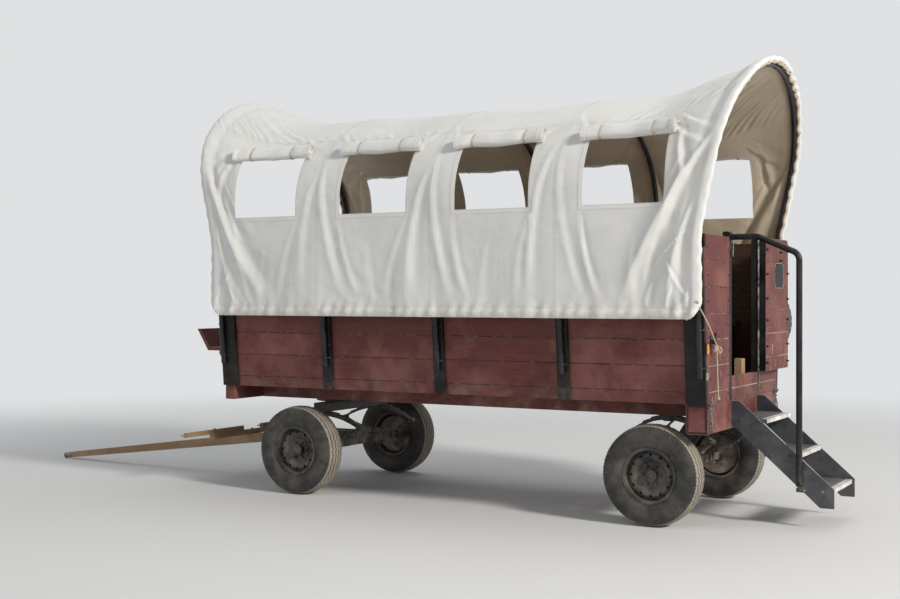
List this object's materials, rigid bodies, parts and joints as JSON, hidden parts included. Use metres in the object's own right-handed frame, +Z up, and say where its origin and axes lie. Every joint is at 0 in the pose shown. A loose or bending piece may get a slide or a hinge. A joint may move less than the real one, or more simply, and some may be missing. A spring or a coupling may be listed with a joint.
{
  "type": "covered wagon",
  "caption": "Planked passenger covered wagon on rubber tyres, with flared canvas top, half door, rear steps and handrail, spare wheel and draught pole.",
  "frame": {"origin": "on the ground under the middle of the whole wagon's box, pole and steps included", "axes": "+X forward along the pole, +Y to the wagon's left, +Z up"},
  "size_m": [7.798, 2.3256, 3.43],
  "materials": {
    "red_boards": "oxblood paint worn to bare wood on its edges",
    "black_boards": "black paint over planed boards",
    "floor_wood": "bare trodden planks",
    "black_steel": "satin black enamel",
    "hinge_steel": "dull zinc",
    "canvas": "off-white duck canvas",
    "rope": "laid tan rope",
    "tyre_rubber": "dusty road tyre",
    "wheel_steel": "black enamel with dust",
    "tread_steel": "galvanised, dusty",
    "pole_wood": "oiled ash"
  },
  "bodies": {
    "wagon": {"floor_deck": "floor_wood", "floor_bearers": "floor_wood", "sills": "red_boards", "rear_beam": "red_boards", "front_beam": "red_boards", "side_wall_left": "red_boards", "side_wall_right": "red_boards", "side_posts_left": "black_boards", "side_posts_right": "black_boards", "top_rails": "black_boards", "rear_wall_left": "red_boards", "rear_wall_right": "red_boards", "jamb_posts": "black_boards", "threshold": "red_boards", "front_wall": "red_boards", "door_hinge_fixed": "hinge_steel", "canvas_cover": "canvas", "bows": "black_steel", "bench_left": "floor_wood", "bench_right": "floor_wood", "driver_seat": "floor_wood", "footboard": "red_boards", "steps": "tread_steel", "handrail": "black_steel", "spare_carrier": "black_steel", "spare_wheel": "wheel_steel", "spare_tyre": "tyre_rubber", "rope_cleat": "black_steel", "rope_hitch": "rope", "rope_tail": "rope", "rope_end_knot": "rope", "rear_axle": "black_steel", "rear_springs": "black_steel", "upper_turntable": "black_steel"},
    "door": {"rear_door": "red_boards", "door_edging": "black_steel", "door_hinge_moving": "hinge_steel"},
    "front_truck": {"lower_turntable": "black_steel", "front_axle": "black_steel", "front_springs": "black_steel", "hounds": "black_steel"},
    "draught_pole": {"pole": "pole_wood", "pole_ferrule": "black_steel", "evener_pin": "black_steel"},
    "evener_bar": {"evener": "pole_wood"},
    "left_tree": {"singletree_left": "pole_wood"},
    "right_tree": {"singletree_right": "pole_wood"},
    "rear_left_wheel": {"wheel_rear_left": "wheel_steel", "tyre_rear_left": "tyre_rubber"},
    "rear_right_wheel": {"wheel_rear_right": "wheel_steel", "tyre_rear_right": "tyre_rubber"},
    "front_left_wheel": {"wheel_front_left": "wheel_steel", "tyre_front_left": "tyre_rubber"},
    "front_right_wheel": {"wheel_front_right": "wheel_steel", "tyre_front_right": "tyre_rubber"}
  },
  "joints": [
    {"name": "steering", "type": "hinge", "parent": "wagon", "child": "front_truck", "pos_m": [0.39098, 0.11152, 0.752], "axis": [0, 0, 1], "range_deg": [-35, 35]},
    {"name": "pole_lift", "type": "hinge", "parent": "front_truck", "child": "draught_pole", "pos_m": [0.72098, 0.11152, 0.43], "axis": [0, -1, 0], "range_deg": [0, 20]},
    {"name": "evener_swing", "type": "hinge", "parent": "draught_pole", "child": "evener_bar", "pos_m": [1.50233, 0.11152, 0.39141], "axis": [0.1258, 0, 0.9921], "range_deg": [-15, 15]},
    {"name": "left_tree_swing", "type": "hinge", "parent": "evener_bar", "child": "left_tree", "pos_m": [1.50736, 0.64152, 0.4311], "axis": [0.1258, 0, 0.9921], "range_deg": [-30, 30]},
    {"name": "right_tree_swing", "type": "hinge", "parent": "evener_bar", "child": "right_tree", "pos_m": [1.50736, -0.41848, 0.4311], "axis": [0.1258, 0, 0.9921], "range_deg": [-30, 30]},
    {"name": "door_swing", "type": "hinge", "parent": "wagon", "child": "door", "pos_m": [-3.16632, -0.21848, 1.5], "axis": [0, 0, -1], "range_deg": [0, 180]},
    {"name": "rear_left_wheel_spin", "type": "hinge", "parent": "wagon", "child": "rear_left_wheel", "pos_m": [-2.71902, 0.87152, 0.3665], "axis": [0, 1, 0], "continuous": true},
    {"name": "rear_right_wheel_spin", "type": "hinge", "parent": "wagon", "child": "rear_right_wheel", "pos_m": [-2.71902, -0.64848, 0.3665], "axis": [0, 1, 0], "continuous": true},
    {"name": "front_left_wheel_spin", "type": "hinge", "parent": "front_truck", "child": "front_left_wheel", "pos_m": [0.39098, 0.87152, 0.3665], "axis": [0, 1, 0], "continuous": true},
    {"name": "front_right_wheel_spin", "type": "hinge", "parent": "front_truck", "child": "front_right_wheel", "pos_m": [0.39098, -0.64848, 0.3665], "axis": [0, 1, 0], "continuous": true}
  ]
}
